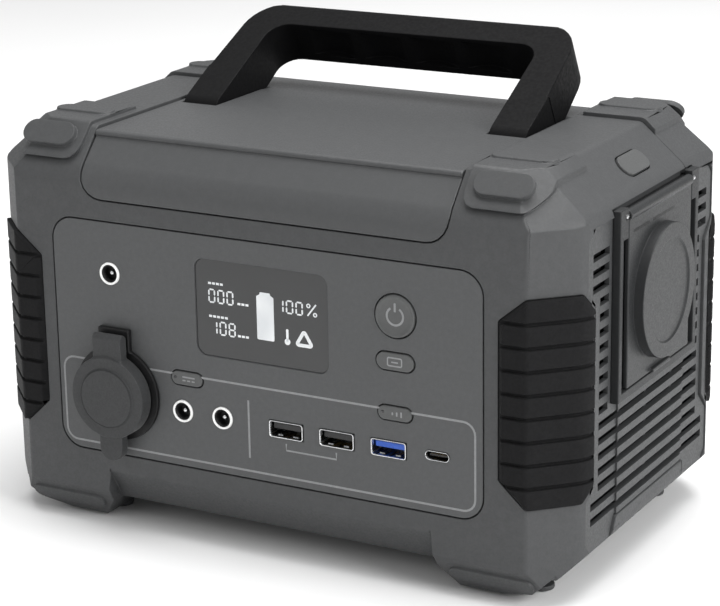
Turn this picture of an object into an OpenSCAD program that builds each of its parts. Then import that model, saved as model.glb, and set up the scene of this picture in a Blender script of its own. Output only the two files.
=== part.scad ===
// Portable power station: two moulded case halves under a saddle-shaped top cover,
// a control panel in front, a lidded mains socket on the right, rubber corner grips
// and a folding carry handle. Millimetres, +Z up, front faces -Y.
// Origin: middle of the overall box in plan, on the plane the feet stand on. The modules
// measure from the middle of the case, and heights from the moulding datum above the feet.

/* [Case] */
// Width of the case over its side faces
case_w = 236; // [220:1:250]
// Depth of the case, front face to back face
case_d = 144.4; // [136:0.1:152]
// Height of the top frames over the moulding datum
case_h = 144.2; // [138:0.1:150]
// Bevel on the upright case edges
bevel = 15.6; // [12:0.1:18]
// Width of the bevel along each side of the top
top_bevel = 18.2; // [14:0.1:20]
// How far the feet stand below the moulding datum
foot_drop = 5; // [3:0.1:6]
// Wall thickness of the mouldings
wall = 2.6; // [2:0.1:3.5]
// Height of the case floor between the feet over the moulding datum
floor_z = 3.5; // [2:0.5:8]
// Where the front and rear halves meet, behind the middle
seam_y = 30; // [20:1:34]

/* [Top cover] */
// Half width of the saddle top cover
saddle_x = 73.7; // [65:0.1:80]
// Height of the saddle top face
saddle_z = 143.2; // [140:0.1:144]
// Lower edge of the cover's front flap
flap_z = 120.6; // [116:0.1:126]

/* [Handle] */
// Lean of the handle above level at rest
handle_lean = 28; // [26:1:40]
// Height of the pivot
pivot_z = 139; // [137:0.1:140]
// Distance of the pivot behind the middle of the case
pivot_y = 0; // [-3:0.5:6]
// Length from the pivot to the outer face of the grip bar
handle_l = 58.5; // [52:0.5:66]
// Half width of the handle
handle_x = 71.3; // [66:0.1:71.5]
// Width of each leg
leg_w = 14.8; // [12:0.1:16]
// Diameter of the pivot pins
pin_d = 5; // [4:0.5:6]

/* [Control panel] */
// Half width of the control panel
panel_x = 86.6; // [80:0.1:90]
// Height of the control panel
panel_h = 87.6; // [80:0.1:92]
// Height of the panel centre over the ground
panel_z = 68.7; // [64:0.1:72]
// Corner radius of the panel
panel_r = 8.5; // [4:0.5:12]
// Width of the display window
screen_w = 53.9; // [48:0.1:60]
// Height of the display window
screen_h = 35.6; // [30:0.1:40]

/* [Sockets] */
// Bore of the 12 V car socket
car_bore = 21; // [20.9:0.1:21.5]
// Bore of the barrel jacks
jack_bore = 5.6; // [5.5:0.1:5.8]
// Centre pin of the barrel jacks
jack_pin = 2.1; // [2:0.1:2.5]
// Diameter of the mains socket well
well_d = 39; // [38.8:0.1:40]
// Depth of the mains socket well
well_depth = 17.5; // [17:0.5:18]
// Button travel
press = 0.8; // [0.5:0.1:1.2]

/* [Vents] */
// Spacing of the vent slots
slot_pitch = 5.5; // [5:0.1:6]
// Height of one vent slot
slot_h = 2.8; // [2:0.1:3]
// Number of full length slots below the mains socket
long_slots = 7; // [5:1:7]
// Number of rows of vent slots
slot_rows = 18; // [14:1:18]

/* [Grips] */
// Height of the rubber corner grips
grip_h = 73; // [60:1:80]
// Height of the lower end of the grips
grip_z = 32; // [28:1:40]
// How far the grips stand out of the case
grip_out = 1.4; // [0.8:0.1:2]

/* [Battery] */
// Cell diameter
cell_d = 18.4; // [18:0.1:18.6]
// Cell length
cell_l = 65; // [64:0.5:66]
// Cell spacing
cell_pitch = 19.6; // [19:0.1:21]

/* [Hidden] */
hx = case_w / 2;
hy = case_d / 2;
frame_x = 2.15;
frame_y = -3.65;
front_y = -hy;
saddle_rise = 13.6;
skin = 2.8;
bin_t = 2;
pocket_gap = 0.4;
knuckle_r = 7.5;
leg_back = 12;
bar_depth = 13;
car_x = -60.6;
car_z = 49;
dc_in = [-62.4, 93.6];
dc_out = [[-33.1, 45.9], [-16.4, 45.9]];
cap_hinge = [front_y - 4.9, car_z + 21.6];
usb_x = [9.9, 30.3, 50.7];
usb_z = 45.4;
usb_c = [69.5, 45.8];
power_at = [53.9, 93.4];
display_at = [53.7, 77.2];
dc_switch_at = [-30.8, 58.5];
usb_switch_at = [53.4, 58.6];
screen_at = [0.7, 86.3];
plate_y0 = -35.5;
plate_y1 = 35.5;
plate_z0 = 60.5;
plate_z1 = 128.4;
lid_y0 = -28.2;
lid_y1 = 28.2;
lid_z0 = 64;
lid_pin = [118.9, 125.4];
well_y = 0;
well_z = 92.4;
boss_at = [[-96, 119], [96, 119], [-96, 24], [96, 24]];
cell_y = -14;
cell_x0 = -3.5 * cell_pitch;
cell_z0 = 22.4;
fan_x = -101;
fan_z = 74;
$fn = 48;

// ---------- plane outlines ----------

function unit(v) = v / norm(v);

// Outline p with corner i turned into an arc of radius r[i] drawn as n chords.
function rounded(p, r, n = 5) = [
  for (i = [0 : len(p) - 1])
    let (
      a = p[(i + len(p) - 1) % len(p)],
      b = p[i],
      c = p[(i + 1) % len(p)],
      q = is_list(r) ? r[i] : r,
      u = unit(a - b),
      v = unit(c - b),
      h = acos(u * v) / 2,
      o = b + unit(u + v) * q / sin(h),
      s = b + u * q / tan(h) - o,
      e = b + v * q / tan(h) - o,
      a0 = atan2(s[1], s[0]),
      da = (atan2(e[1], e[0]) - a0 + 540) % 360 - 180
    )
    each (q == 0 ? [b] : [for (k = [0 : n]) o + q * [cos(a0 + da * k / n), sin(a0 + da * k / n)]])
];

// Bevelled rectangle, pushed out by o.
function plan(o) =
  let (b = bevel + 0.586 * o, x = hx + o, y = hy + o)
  rounded(
    [[x, -y + b], [x, y - b], [x - b, y], [-x + b, y], [-x, y - b], [-x, -y + b], [-x + b, -y], [x - b, -y]],
    [12 + o, 12 + o, 3, 3, 12 + o, 12 + o, 3, 3], 4
  );

// Front elevation of the case, pushed out by o.
function front_view(o) =
  let (b = top_bevel + 0.5 * o, h = bevel + 0.5 * o, c = 9 + 0.586 * o, x = hx + o, t = case_h + o, f = floor_z - o)
  rounded([[x, f + c], [x, t - h], [x - b, t], [-x + b, t], [-x, t - h], [-x, f + c], [-x + c, f], [x - c, f]],
    [4, 9, 4, 4, 9, 4, 4, 4], 4);

// Side elevation of the case, pushed out by o: front and back edges lean in at the top
// and are undercut between the feet.
function side_view(o) =
  let (y = hy + o, t = case_h + o, f = floor_z - o, s = saddle_rise + 0.6 * o, c = 14 + 0.6 * o)
  rounded([[y, f + c], [y, t - 15.2], [y - s, t], [-y + s, t], [-y, t - 15.2], [-y, f + c], [-y + 10, f], [y - 10, f]],
    [3, 14 + o, 3, 3, 14 + o, 3, 3, 3], 5);

// Side elevation of the saddle cover's skin at depth o below its outer face.
function saddle_view(o) = rounded([
  [hy - o, 90], [hy - o, 128.8 - 0.4 * o], [hy - saddle_rise - 0.7 * o, saddle_z - 3 - o], [24, saddle_z - o],
  [-hy + saddle_rise + 0.7 * o, saddle_z - o], [-hy + o, 128.8 - 0.4 * o], [-hy + o, 90]
], [0, 14 - o, 0, 0, 0, 14 - o, 0], 5);

// Moves a piece to the part's own origin: feet at z = 0, overall box centred in plan.
module placed() {
  translate([-frame_x, -frame_y, foot_drop])
    children();
}

module along_y(y0, y1) {
  translate([0, y1, 0])
    rotate([90, 0, 0])
      linear_extrude(y1 - y0)
        children();
}

module along_x(x0, x1) {
  translate([x0, 0, 0])
    rotate([90, 0, 90])
      linear_extrude(x1 - x0)
        children();
}

module case_form(o, y0, y1) {
  intersection() {
    translate([0, 0, -5])
      linear_extrude(170)
        polygon(plan(o));
    along_y(y0, y1)
      polygon(front_view(o));
    along_x(-130, 130)
      polygon(side_view(o));
    corner_cuts(o);
  }
}

// Bevels that take off the four top corners, where the edge bevels run together.
module corner_cuts(o) {
  r = (hx + hy - bevel) / sqrt(2) + o;
  t = case_h + 0.4 * o;
  outline = [[r + 4, -20], [r + 4, t - 20.2], [r - 36, t + 21.4], [36 - r, t + 21.4], [-r - 4, t - 20.2], [-r - 4, -20]];
  intersection() {
    rotate([0, 0, 45])
      along_y(-180, 180)
        polygon(outline);
    rotate([0, 0, -45])
      along_y(-180, 180)
        polygon(outline);
  }
}

module pill(l, w) {
  square([l - w, w], center = true);
  for (s = [-1, 1])
    translate([s * (l - w) / 2, 0])
      circle(d = w);
}

module round_box(w, h, r) {
  square([w - 2 * r, h], center = true);
  square([w, h - 2 * r], center = true);
  for (x = [-1, 1], z = [-1, 1])
    translate([x * (w / 2 - r), z * (h / 2 - r)])
      circle(r = r);
}

// Front-facing prism of a plane outline centred at [x, z].
module on_front(at, y0, y1) {
  translate([at[0], y1, at[1]])
    rotate([90, 0, 0])
      linear_extrude(y1 - y0)
        children();
}

module mirror_all() {
  for (i = [0, 1], j = [0, 1])
    mirror([i, 0, 0])
      mirror([0, j, 0])
        children();
}

module both_sides() {
  for (i = [0, 1])
    mirror([i, 0, 0])
      children();
}

// ---------- shapes cut into or added onto the case ----------

// Rubbing strip moulded proud of a bumper or foot.
module rib(l, w, h) {
  translate([0, 0, -0.6])
    linear_extrude(h + 0.6)
      pill(l, w);
}

// One foot, right front corner.
module foot() {
  intersection() {
    translate([0, 0, -5])
      linear_extrude(40)
        polygon(plan(0));
    along_y(-hy, 0)
      polygon([[66, 22], [67.5, 4.5], [74, -3.8], [90, -3.8], [102, -1.4], [hx, 14], [hx, 22]]);
    along_x(60, 130)
      polygon([[front_y, 22], [front_y, 9.5], [front_y + 8, -3.8], [-38, -3.8], [-30, 5], [-28, 22]]);
  }
  translate([88, -50, -3.8])
    mirror([0, 0, 1])
      rib(30, 9, 1.2);
  translate([88, front_y + 4, 2.85])
    rotate([121, 0, 0])
      rib(32, 6.5, 1);
}

// One top corner bumper, right front corner.
module bumper() {
  intersection() {
    translate([0, 0, 100])
      linear_extrude(60)
        polygon(plan(1));
    along_x(60, 130)
      polygon(side_view(1.4));
    along_y(-80, -seam_y)
      polygon(rounded([[76.7, 133.6], [101, 133.6], [105, 138], [105, 160], [76.7, 160]], [5, 4, 3, 2, 0.1], 3));
    along_y(-80, 0)
      polygon(front_view(1.4));
    corner_cuts(1.4);
  }
  translate([89, -44.8, case_h + 1.4])
    rib(24, 8.4, 0.9);
  translate([91, -64.4, 140.8])
    rotate([48, 0, 0])
      rib(22, 9.4, 1.6);
}

// Opening the saddle cover drops into.
module saddle_bay() {
  difference() {
    intersection() {
      along_y(-90, 90)
        polygon(rounded([[-saddle_x - 0.4, flap_z - 0.4], [saddle_x + 0.4, flap_z - 0.4], [saddle_x + 0.4, 170],
          [-saddle_x - 0.4, 170]], [9, 9, 1, 1], 5));
      translate([-100, -90, 100])
        cube([200, 180, 70]);
    }
    along_x(-100, 100)
      polygon(saddle_view(skin));
  }
}

// Inner skin of the case that carries the saddle cover.
module saddle_shelf() {
  intersection() {
    difference() {
      along_x(-saddle_x - 3, saddle_x + 3)
        polygon(saddle_view(skin));
      along_x(-saddle_x - 10, saddle_x + 10)
        polygon(saddle_view(skin + bin_t));
    }
    translate([-100, -90, flap_z - 5])
      cube([200, 180, 50]);
  }
}

// Upstand beside the saddle cover: the inner wall of each top frame.
module frame_wall() {
  both_sides()
    translate([saddle_x + 0.4, 0, 0])
      along_x(0, 2.6)
        difference() {
          polygon(side_view(-0.2));
          polygon(saddle_view(skin + bin_t));
          translate([-100, 0])
            square([200, flap_z - 5]);
        }
}

// Side vent opening, drawn in side elevation (depth, height).
module vent_outline(o) {
  polygon(rounded([
    [-55 - o, 105 - o], [-55 - o, 122 + o], [-51 - o, 126 + o], [51 + o, 126 + o], [55 + o, 122 + o],
    [55 + o, 105 - o], [48 + o, 98 - o], [48 + o, 38 + o], [55 + o, 31 + o], [55 + o, 15 - o],
    [51 + o, 11.4 - o], [35 - o, 11.4 - o], [31 - o, 18.6 - o], [-31 + o, 18.6 - o], [-35 + o, 11.4 - o],
    [-51 - o, 11.4 - o], [-55 - o, 15 - o], [-55 - o, 31 + o], [-48 - o, 38 + o], [-48 - o, 98 - o]
  ], 1.5, 2));
}

// Elevation of a corner grip seen square onto the bevel.
module grip_outline(o) {
  z0 = grip_z;
  z1 = grip_z + grip_h;
  c0 = (hx - bevel - hy) / sqrt(2);
  c1 = (hx - hy + bevel) / sqrt(2);
  polygon(rounded([
    [c0 - 6.8 - o, z0 + 9], [c0, z0 - o], [c1 - 2, z0 - o], [c1 + 3 + o, z0 + 6], [c1 + 3 + o, z1 - 6],
    [c1 - 2, z1 + o], [c0, z1 + o], [c0 - 6.8 - o, z1 - 8]
  ], 2, 3));
}

// Band of the case skin under a grip, right front corner: from o0 to o1 off the face.
module grip_solid(o0, o1, edge) {
  intersection() {
    translate([0, 0, 20])
      difference() {
        linear_extrude(100)
          polygon(plan(o1));
        translate([0, 0, -1])
          linear_extrude(102)
            polygon(plan(o0));
      }
    rotate([0, 0, 45])
      along_y(-150, -90)
        grip_outline(edge);
  }
}

// ---------- case ----------

module case_half(y0, y1) {
  difference() {
    union() {
      difference() {
        union() {
          case_form(0, y0, y1);
          intersection() {
            mirror_all()
              union() {
                foot();
                bumper();
              }
            translate([-130, y0, -5])
              cube([260, y1 - y0, 170]);
          }
        }
        case_form(-wall, y0 - 1, y1 + 1);
        saddle_bay();
      }
      intersection() {
        union() {
          saddle_shelf();
          frame_wall();
        }
        translate([-130, y0, 60])
          cube([260, y1 - y0, 100]);
      }
    }
    both_sides() {
      along_x(hx - 8, hx + 4)
        vent_outline(0.3);
      translate([handle_x - leg_w - 3.4, -10.4, 120])
        cube([saddle_x - handle_x + leg_w + 3.8, 50, 40]);
    }
    // notch over the mains plate
    translate([hx - 3.3, plate_y0 - 0.3, 120])
      cube([8, plate_y1 - plate_y0 + 0.6, plate_z1 - 119.7]);
    mirror_all()
      grip_solid(-1.2, 4, 0.3);
  }
}

module front_housing() {
  color("#56585a") placed()
    difference() {
      union() {
        case_half(front_y, seam_y - 0.1);
        // ledge behind the control panel
        on_front([0, panel_z], front_y + wall, front_y + wall + 2)
          difference() {
            round_box(2 * panel_x + 6, panel_h + 6, panel_r + 2);
            round_box(2 * panel_x - 8, panel_h - 8, panel_r - 2);
          }
        vent_frame(front_y + 8, seam_y - 0.1);
        intersection() {
          for (p = boss_at)
            on_front(p, 8, seam_y - 0.1)
              boss_post(p);
          case_form(-1, 0, seam_y - 0.1);
        }
      }
      on_front([0, panel_z], front_y - 1, front_y + wall)
        round_box(2 * panel_x + 0.8, panel_h + 0.8, panel_r + 0.4);
      on_front([0, panel_z], front_y - 1, front_y + wall + 3)
        round_box(2 * panel_x - 8, panel_h - 8, panel_r - 2);
      for (p = boss_at)
        on_front(p, 12, seam_y + 1)
          circle(r = 1.5);
      ac_button_place()
        linear_extrude(8, center = true)
          pill(21.2, 9.2);
    }
}

module boss_post(p) {
  circle(r = 5);
  translate([-1.2, p[1] > 60 ? 0 : -26])
    square([2.4, 26]);
}

// Rebate round each side vent opening that carries the grille.
module vent_frame(y0, y1) {
  both_sides()
    intersection() {
      along_x(hx - 5.4, hx - 3)
        difference() {
          vent_outline(2.5);
          vent_outline(-1.5);
        }
      translate([60, y0, 0])
        cube([60, y1 - y0, 140]);
      case_form(-0.5, y0, y1);
    }
}

module rear_housing() {
  color("#535557") placed()
    difference() {
      union() {
        case_half(seam_y + 0.1, hy);
        vent_frame(seam_y + 0.1, hy - 8);
        intersection() {
          for (p = boss_at)
            on_front(p, seam_y + 0.1, hy - 1)
              boss_post(p);
          case_form(-1, seam_y + 0.1, hy);
        }
      }
      for (p = boss_at) {
        on_front(p, seam_y - 1, hy)
          circle(r = 1.8);
        on_front(p, 44, hy + 1)
          circle(r = 3.6);
      }
    }
}

module case_screws() {
  color("#2c2d2f") placed()
    for (p = boss_at)
      difference() {
        union() {
          on_front(p, 16, 44)
            circle(r = 1.5);
          on_front(p, 44, 46.6)
            circle(r = 3.1);
        }
        on_front(p, 45, 47)
          circle(r = 1.4, $fn = 6);
      }
}

// Pocket one leg swings in, drawn in side elevation with the pivot at [0, 0].
module pocket_outline() {
  c = cos(handle_lean);
  s = sin(handle_lean);
  g = leg_back + pocket_gap;
  t = (8 + g * c) / s;
  circle(r = knuckle_r + pocket_gap);
  polygon([[-knuckle_r - pocket_gap, 8], [-knuckle_r - pocket_gap, 0], [0, -knuckle_r - pocket_gap], [g * s, -g * c],
    [g * s + t * c, 8]]);
}

module top_cover() {
  color("#5d5f61") placed()
    difference() {
      union() {
        intersection() {
          difference() {
            along_x(-saddle_x, saddle_x)
              polygon(saddle_view(0));
            along_x(-saddle_x - 1, saddle_x + 1)
              polygon(saddle_view(skin));
          }
          along_y(-90, 90)
            polygon(rounded([[-saddle_x, flap_z], [saddle_x, flap_z], [saddle_x, 170], [-saddle_x, 170]],
              [8.6, 8.6, 1, 1], 5));
        }
        // eave over the front and back slopes
        for (s = [0, 1])
          mirror([0, s, 0])
            translate([0, 0, -3 * s])
              along_x(-saddle_x, saddle_x)
                difference() {
                  polygon([[-59.2, saddle_z - 3.4], [-61.2, saddle_z - 2], [-61.2, saddle_z - 0.8],
                    [-60.2, saddle_z], [-54, saddle_z], [-54, saddle_z - 3.4]]);
                  translate([0, 3 * s])
                    polygon(saddle_view(skin));
                }
        // well round each handle leg
        both_sides()
          along_x(handle_x - leg_w - 3, saddle_x)
            polygon([[-10, saddle_z - 1], [-10, 126.6], [-2, 124.6], [9, 124.6], [39, 139.4], [39, saddle_z - 2.4]]);
      }
      both_sides() {
        translate([0, pivot_y, pivot_z])
          along_x(handle_x - leg_w - pocket_gap, handle_x + pocket_gap)
            pocket_outline();
        translate([0, pivot_y, pivot_z])
          along_x(handle_x - leg_w - 2.4, handle_x + 1.8)
            circle(d = pin_d);
      }
    }
}

module handle() {
  bar0 = handle_l - bar_depth;
  color("#1f2021") placed()
    translate([0, pivot_y, pivot_z])
      rotate([handle_lean, 0, 0])
        difference() {
          union() {
            both_sides() {
              along_x(handle_x - leg_w, handle_x)
                circle(r = knuckle_r);
              along_x(handle_x - leg_w, handle_x)
                polygon([[0, knuckle_r], [0, -knuckle_r], [4, -leg_back], [12, -leg_back], [18, -leg_back + 0.4],
                  [18, knuckle_r]]);
            }
            // bail: legs and grip bar in one bow, seen square onto the lean
            intersection() {
              translate([0, 0, -leg_back])
                linear_extrude(leg_back + knuckle_r)
                  difference() {
                    polygon(rounded([[-handle_x, 10], [handle_x, 10], [handle_x - 2.8, handle_l], [-handle_x + 2.8, handle_l]],
                      [0.1, 0.1, 16, 16], 8));
                    polygon(rounded([[-handle_x + leg_w, 5], [handle_x - leg_w, 5], [handle_x - leg_w, bar0],
                      [-handle_x + leg_w, bar0]], [0.1, 0.1, 8, 8], 6));
                  }
              along_x(-80, 80)
                polygon(rounded([[4, knuckle_r], [4, -leg_back], [12, -leg_back], [handle_l, -9.2], [handle_l, knuckle_r]],
                  [0.1, 0.1, 30, 4.5, 3], 5));
            }
          }
          // finger grooves on the inner face of the grip bar
          for (i = [-1.5 : 1 : 1.5])
            translate([i * 22, bar0 - 13.4, -6.8])
              cylinder(r = 16.4, h = 12.6);
          // bore for the pivot pins
          along_x(-80, 80)
            circle(d = pin_d + 0.12);
        }
}

module handle_pins() {
  color("#9a9ca0") placed()
    both_sides()
      translate([0, pivot_y, pivot_z])
        along_x(handle_x - leg_w - 2.4, handle_x + 1.8)
          circle(d = pin_d);
}

// ---------- control panel ----------

module control_panel() {
  color("#4b4d4f") placed()
    difference() {
      on_front([0, panel_z], front_y, front_y + wall)
        round_box(2 * panel_x, panel_h, panel_r);
      on_front(screen_at, front_y - 1, front_y + 4)
        round_box(screen_w, screen_h, 4);
      for (p = concat([dc_in], dc_out))
        on_front(p, front_y - 1, front_y + 4)
          circle(r = 4.2);
      for (x = usb_x)
        on_front([x, usb_z], front_y - 1, front_y + 4)
          square([13.8, 6.3], center = true);
      on_front(usb_c, front_y - 1, front_y + 4)
        pill(9.4, 3.6);
      on_front([car_x, car_z], front_y - 1, front_y + 4)
        circle(r = 14.2);
      on_front(power_at, front_y - 1, front_y + 4)
        circle(r = 8);
      on_front(display_at, front_y - 1, front_y + 4)
        pill(15.2, 7);
      for (p = [dc_switch_at, usb_switch_at])
        on_front(p, front_y - 1, front_y + 4)
          pill(13.8, 5.8);
    }
}

module screen_window() {
  color("#101214") placed()
    on_front(screen_at, front_y + 0.7, front_y + wall)
      round_box(screen_w - 0.1, screen_h - 0.1, 3.95);
}

module display_module() {
  color("#26282a") placed()
    difference() {
      on_front(screen_at, front_y + wall, front_y + wall + 6)
        round_box(screen_w + 6, screen_h + 6, 2);
      on_front(screen_at, front_y + wall - 1, front_y + wall + 1)
        square([screen_w - 4, screen_h - 4], center = true);
    }
}

module barrel_jack(p) {
  difference() {
    union() {
      on_front(p, front_y - 0.3, front_y + wall)
        circle(r = 4.2);
      on_front(p, front_y + wall, front_y + 14)
        square([10, 10.4], center = true);
    }
    on_front(p, front_y - 1, front_y + 11)
      circle(d = jack_bore);
  }
  on_front(p, front_y + 1.2, front_y + 11)
    circle(d = jack_pin);
}

module dc_in_jack() {
  color("#d8d9da") placed()
    barrel_jack(dc_in);
}

module dc_out_jacks() {
  color("#d8d9da") placed()
    for (p = dc_out)
      barrel_jack(p);
}

module usb_shells() {
  color("#c4c7ca") placed()
    for (x = usb_x)
      difference() {
        on_front([x, usb_z], front_y - 0.1, front_y + 14)
          square([13.7, 6.2], center = true);
        on_front([x, usb_z], front_y - 1, front_y + 13)
          square([12.5, 5.1], center = true);
      }
}

module usb_tongue(x) {
  on_front([x, usb_z + 0.9], front_y + 1.2, front_y + 13)
    square([11.2, 1.9], center = true);
}

module usb_tongues() {
  color("#17181a") placed()
    for (i = [0, 1])
      usb_tongue(usb_x[i]);
}

module usb_fast_tongue() {
  color("#2f6fd0") placed()
    usb_tongue(usb_x[2]);
}

module usb_c_shell() {
  color("#b8bbbe") placed()
    difference() {
      on_front(usb_c, front_y - 0.1, front_y + 11)
        pill(9.3, 3.5);
      on_front(usb_c, front_y - 1, front_y + 10)
        pill(8.4, 2.6);
    }
}

module usb_c_tongue() {
  color("#17181a") placed()
    on_front(usb_c, front_y + 1, front_y + 10)
      square([6.7, 0.7], center = true);
}

module car_socket() {
  color("#262829") placed()
    difference() {
      union() {
        on_front([car_x, car_z], front_y - 1.6, front_y)
          circle(r = 17.8);
        on_front([car_x, car_z], front_y, front_y + 42)
          circle(r = 14.2);
        on_front([car_x, car_z], front_y + wall, front_y + wall + 4)
          circle(r = 17.5, $fn = 6);
        // anchor of the cap strap
        on_front([car_x, car_z], front_y - 2.2, front_y)
          translate([-6.6, 16])
            square([13.2, 8.8]);
      }
      on_front([car_x, car_z], front_y + 2, front_y + 34)
        circle(d = car_bore);
      // counterbore that the cap's lip plugs
      on_front([car_x, car_z], front_y - 2, front_y + 2.4)
        circle(r = 12.2);
      on_front([car_x, car_z], front_y + 33, front_y + 39)
        circle(r = 7.05);
    }
}

module car_socket_contact() {
  color("#b9975b") placed() {
    on_front([car_x, car_z], front_y + 36.5, front_y + 39)
      circle(r = 7);
    on_front([car_x, car_z], front_y + 34.2, front_y + 36.5)
      circle(r = 3);
  }
}

module car_socket_cap() {
  y1 = front_y - 2;
  y0 = front_y - 8;
  color("#2b2d2f") placed() {
    difference() {
      union() {
        on_front([car_x, car_z], y0, y1)
          circle(r = 15.4);
        on_front([car_x, car_z], y0 - 0.7, y0)
          circle(r = 11);
        on_front([car_x, car_z], y1 - 0.1, y1 + 4)
          circle(r = 11.2);
        // strap up to the hinge, and the pull tab
        on_front([car_x, car_z], y0 + 1.1, y0 + 5.1)
          translate([-6.2, 10])
            square([12.4, 11.6]);
        translate([0, cap_hinge[0], cap_hinge[1]])
          along_x(car_x - 6.2, car_x + 6.2)
            circle(r = 2);
        on_front([car_x, car_z], y0 + 1.1, y0 + 5.1) {
          translate([-4.9, -19.6])
            square([9.8, 10]);
          translate([0, -19.6])
            circle(r = 4.9);
        }
      }
      on_front([car_x, car_z], y1 - 2, y1 + 5)
        circle(r = 9.3);
    }
  }
}

// ---------- buttons ----------

module power_button() {
  color("#3f4143") placed()
    difference() {
      union() {
        on_front(power_at, front_y - 0.6, front_y + 3)
          circle(r = 7.6);
        on_front(power_at, front_y + 3, front_y + 4)
          circle(r = 9);
      }
      on_front(power_at, front_y - 1, front_y - 0.2)
        circle(r = 6.2);
    }
}

module pill_button(p, l, w) {
  on_front(p, front_y - 0.5, front_y + 3)
    pill(l - 0.7, w - 0.7);
  on_front(p, front_y + 3, front_y + 4)
    pill(l + 1.6, w + 1.6);
}

module display_button() {
  color("#3f4143") placed()
    pill_button(display_at, 15.2, 7);
}

module dc_button() {
  color("#3f4143") placed()
    pill_button(dc_switch_at, 13.8, 5.8);
}

module usb_button() {
  color("#3f4143") placed()
    pill_button(usb_switch_at, 13.8, 5.8);
}

// The mains button sits square on the right top bevel, long way front to back.
module ac_button_place() {
  translate([108.9, 0, case_h - 7.8])
    rotate([0, atan2(bevel, top_bevel), 0])
      rotate([0, 0, 90])
        children();
}

module ac_button() {
  color("#3f4143") placed()
    ac_button_place() {
      translate([0, 0, -3.4])
        linear_extrude(4.1)
          pill(20.4, 8.4);
      translate([0, 0, -4.6])
        linear_extrude(1.2)
          pill(23, 11);
    }
}

module button_switches() {
  color("#1b1c1e") placed() {
    for (p = [power_at, display_at, dc_switch_at, usb_switch_at]) {
      on_front(p, front_y + 7.4, front_y + 14.2)
        square([6, 5.4], center = true);
      on_front(p, front_y + 5.2, front_y + 7.4)
        circle(r = 1.6);
    }
    ac_button_place() {
      translate([0, 0, -10])
        linear_extrude(3)
          square([6, 6], center = true);
      translate([0, 0, -7])
        linear_extrude(1.2)
          circle(r = 1.6);
    }
  }
}

// ---------- vents and mains socket ----------

module vent_slots(right) {
  for (i = [0 : slot_rows - 1]) {
    z = 20.8 + slot_pitch * i;
    wide = i > slot_rows - 4 || i < 2 ? 51 : 45;
    if (i < long_slots || !right) {
      translate([-wide, z])
        square([2 * wide, slot_h]);
    } else {
      translate([-wide, z])
        square([wide - 37.5, slot_h]);
      translate([37.5, z])
        square([wide - 37.5, slot_h]);
    }
  }
}

module vent_panel(right) {
  union() {
    difference() {
      union() {
        along_x(hx - 3, hx - 1.2)
          vent_outline(0);
        along_x(hx - 1.3, hx - 0.5)
          intersection() {
            vent_outline(0);
            translate([-30, 0])
              square([60, 140]);
          }
      }
      along_x(hx - 5, hx + 2)
        vent_slots(right);
    }
    // stiffening bars behind the slats
    for (y = [-24, 0, 24])
      translate([hx - 4.2, y - 1, 20.4])
        cube([1.3, 2, right ? 40 : 104]);
  }
}

module right_vent_grille() {
  color("#2a2b2d") placed()
    difference() {
      vent_panel(true);
      translate([hx - 6, plate_y0 + 2, plate_z0 + 2])
        cube([10, plate_y1 - plate_y0 - 4, 80]);
      translate([hx - 1.2, plate_y0, plate_z0])
        cube([10, plate_y1 - plate_y0, 80]);
    }
}

module left_vent_grille() {
  color("#2a2b2d") placed()
    mirror([1, 0, 0])
      vent_panel(false);
}

// Light plate round the mains socket, with the bay the lid closes over.
module ac_socket_plate() {
  w = plate_y1 - plate_y0;
  h = plate_z1 - plate_z0;
  color("#86898b") placed()
    difference() {
      union() {
        translate([hx - 1.2, plate_y0, plate_z0])
          cube([3.1, w, h]);
        translate([hx - 3, plate_y0 + 2.2, plate_z0 + 2.2])
          cube([2, w - 4.4, h - 4.4]);
      }
      // bay for the lid
      translate([hx - 0.3, lid_y0 - 0.4, lid_z0 - 0.4])
        cube([4, lid_y1 - lid_y0 + 0.8, 80]);
      // channel down each side of the lid
      for (s = [-1, 1])
        translate([hx - 1.1, s * 30.4 - 2.2, lid_z0 - 0.4])
          cube([6, 4.4, 54]);
      // bay for the hinge
      translate([hx - 1.4, lid_y0 - 0.4, lid_pin[1] - 2.4])
        cube([6, lid_y1 - lid_y0 + 0.8, 10]);
      along_x(hx - 5, hx + 2)
        translate([well_y, well_z])
          circle(d = well_d + 3);
      hinge_axis(lid_y0 - 3, lid_y1 + 3)
        circle(r = 1.2);
    }
}

module hinge_axis(y0, y1) {
  translate([lid_pin[0], y1, lid_pin[1]])
    rotate([90, 0, 0])
      linear_extrude(y1 - y0)
        children();
}

module ac_cover_pin() {
  color("#9a9ca0") placed()
    hinge_axis(lid_y0 - 3, lid_y1 + 3)
      circle(r = 1.2);
}

module ac_socket_cover() {
  x0 = hx + 0.1;
  color("#6d6f72") placed()
    difference() {
      union() {
        translate([x0, lid_y0, lid_z0])
          cube([1.8, lid_y1 - lid_y0, lid_pin[1] - lid_z0]);
        hinge_axis(lid_y0, lid_y1)
          circle(r = 1.9);
        along_x(x0 + 0.9, x0 + 5.6)
          translate([well_y, well_z])
            circle(r = 24);
        // thumb lip
        translate([x0 + 1.7, well_y - 8, lid_z0])
          cube([1.6, 16, 1.6]);
      }
      along_x(x0 - 1, x0 + 4)
        translate([well_y, well_z])
          circle(r = 22.4);
      along_x(x0 + 5, x0 + 7)
        translate([well_y, well_z])
          circle(r = 18.4);
      hinge_axis(lid_y0 - 1, lid_y1 + 1)
        circle(r = 1.27);
    }
}

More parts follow.
